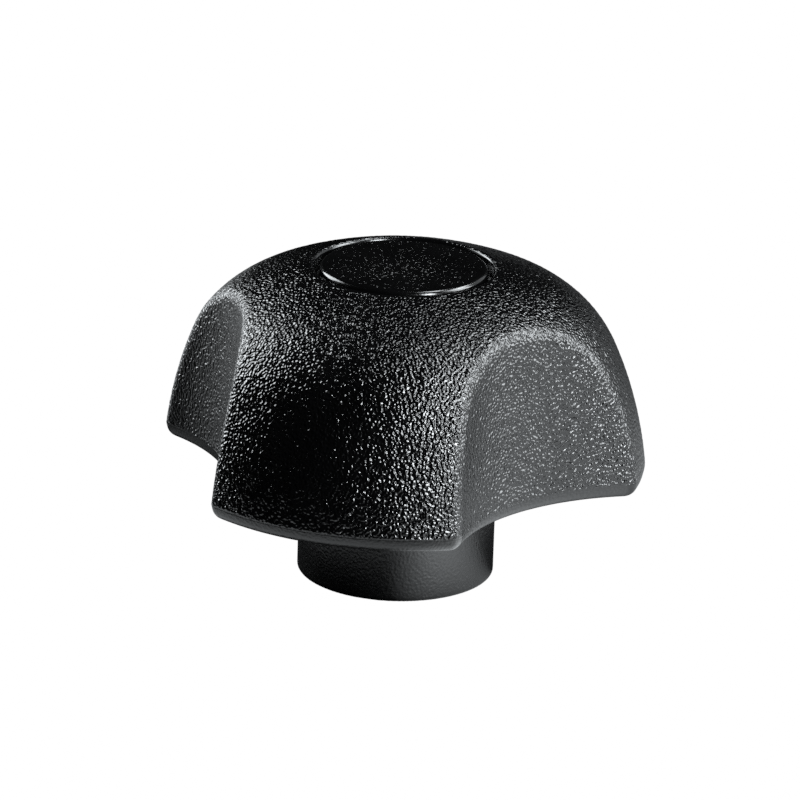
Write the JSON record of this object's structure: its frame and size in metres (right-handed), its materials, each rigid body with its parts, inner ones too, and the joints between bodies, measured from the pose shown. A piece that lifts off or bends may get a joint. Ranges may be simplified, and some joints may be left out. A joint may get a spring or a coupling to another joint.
{
  "type": "three-lobe clamping knob",
  "caption": "Domed three-lobe clamping knob (wing nut) with finger scoops, a short round boss, a blind threaded bush and a push-in cap.",
  "frame": {"origin": "centre of the boss's flat end face, on the screw axis", "axes": "+Z along the screw axis from the boss up to the cap; one of the three lobes points towards -Y"},
  "size_m": [0.05, 0.0466, 0.0325],
  "materials": {
    "knob_polyamide": "coarse pebbled grain, glass-filled polyamide",
    "cap_polyamide": "fine pebbled grain",
    "bush_brass": "turned"
  },
  "bodies": {
    "knob": {"lobe_body": "knob_polyamide", "threaded_insert": "bush_brass"},
    "cap": {"push_in_cap": "cap_polyamide"}
  },
  "joints": [
    {"name": "cap_lift", "type": "slide", "parent": "knob", "child": "cap", "axis": [0, 0, 1], "range_m": [0, 0.012]}
  ]
}
